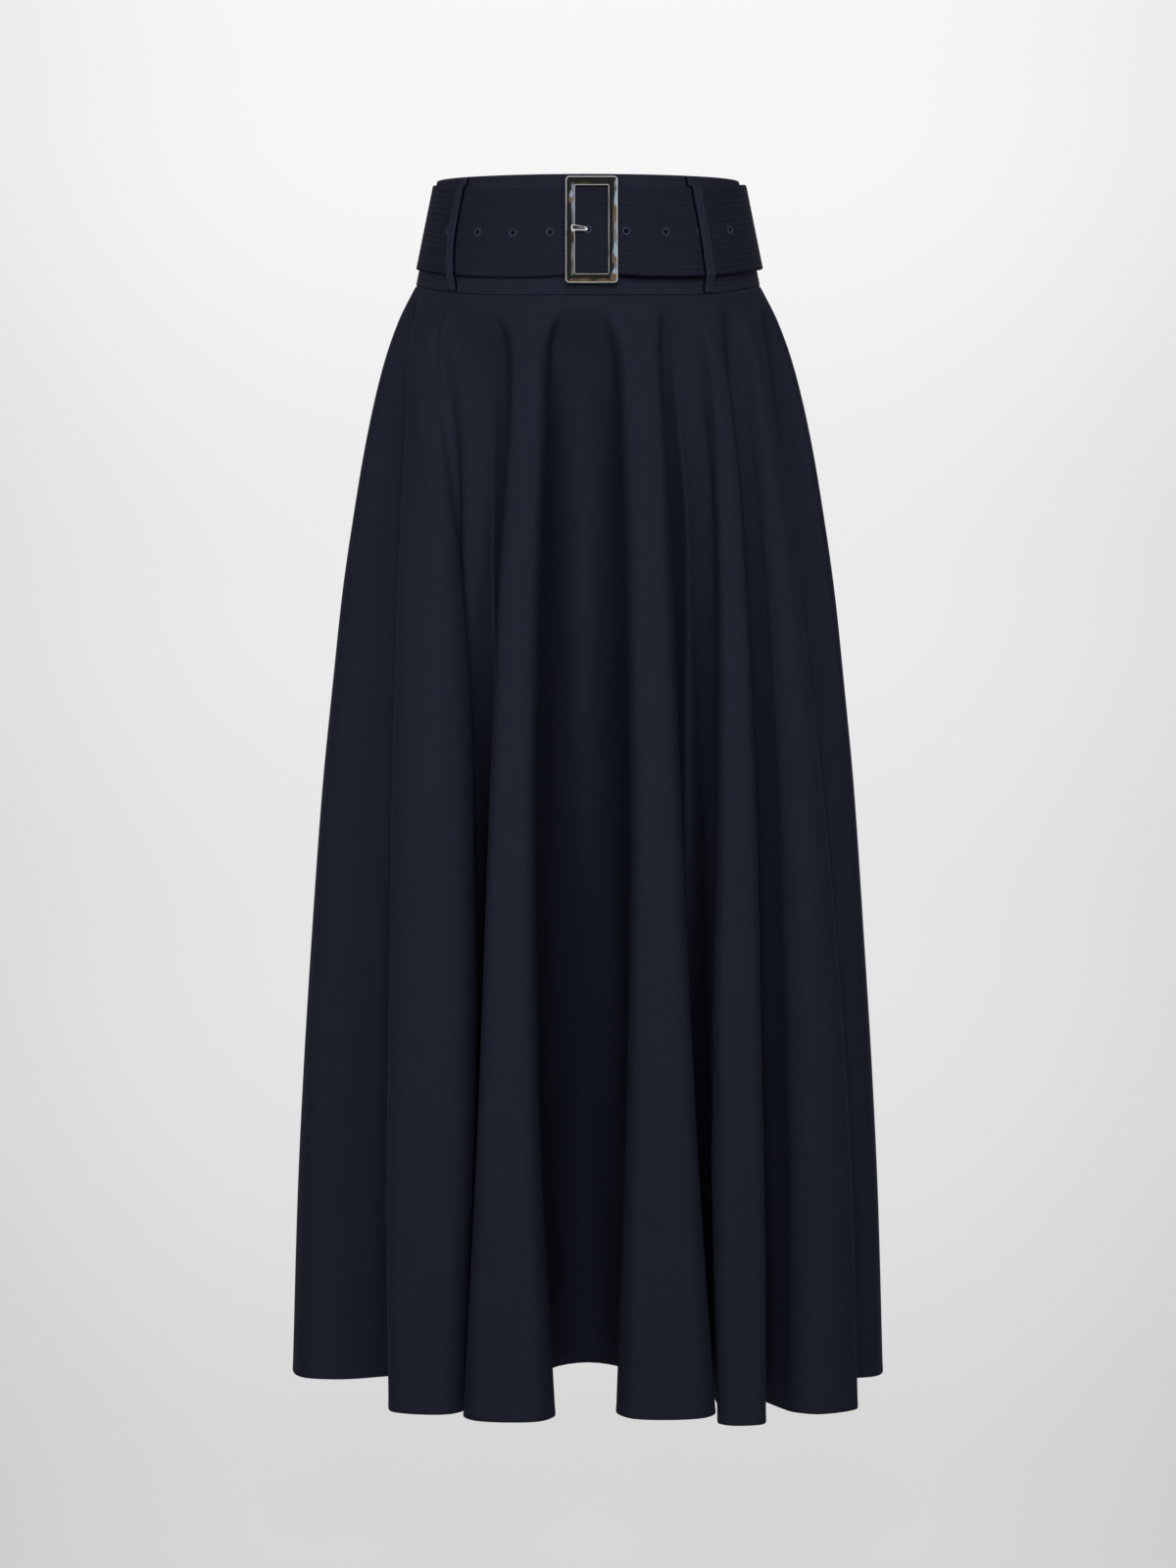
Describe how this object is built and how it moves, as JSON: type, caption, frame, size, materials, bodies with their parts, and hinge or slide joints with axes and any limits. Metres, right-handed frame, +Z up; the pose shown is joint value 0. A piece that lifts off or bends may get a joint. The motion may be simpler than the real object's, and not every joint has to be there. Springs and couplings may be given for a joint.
{
  "type": "worn belted maxi circle skirt",
  "caption": "Worn floor-length circle skirt in dark navy cloth, hanging in deep soft folds from a shaped waistband, with its own wide eyelet belt, belt loops and a rectangular metal buckle.",
  "frame": {"origin": "middle of the waist, halfway up the waistband, where the skirt is held", "axes": "+Z up, -Y the front with the buckle, +X to the right of someone who looks at the front"},
  "size_m": [0.4872, 0.4432, 0.9894],
  "materials": {
    "cloth": "matt, soft twill",
    "band": "matt, close rows of topstitching",
    "metal": "polished"
  },
  "bodies": {
    "root": {"skirt_front": "cloth", "skirt_back_left": "cloth", "skirt_back_right": "cloth", "waistband_front": "band", "waistband_back_left": "band", "waistband_back_right": "band", "belt": "band", "loop_front_left": "band", "loop_front_right": "band", "loop_back_left": "band", "loop_back_right": "band", "buckle": "metal", "prong": "metal"}
  },
  "joints": []
}
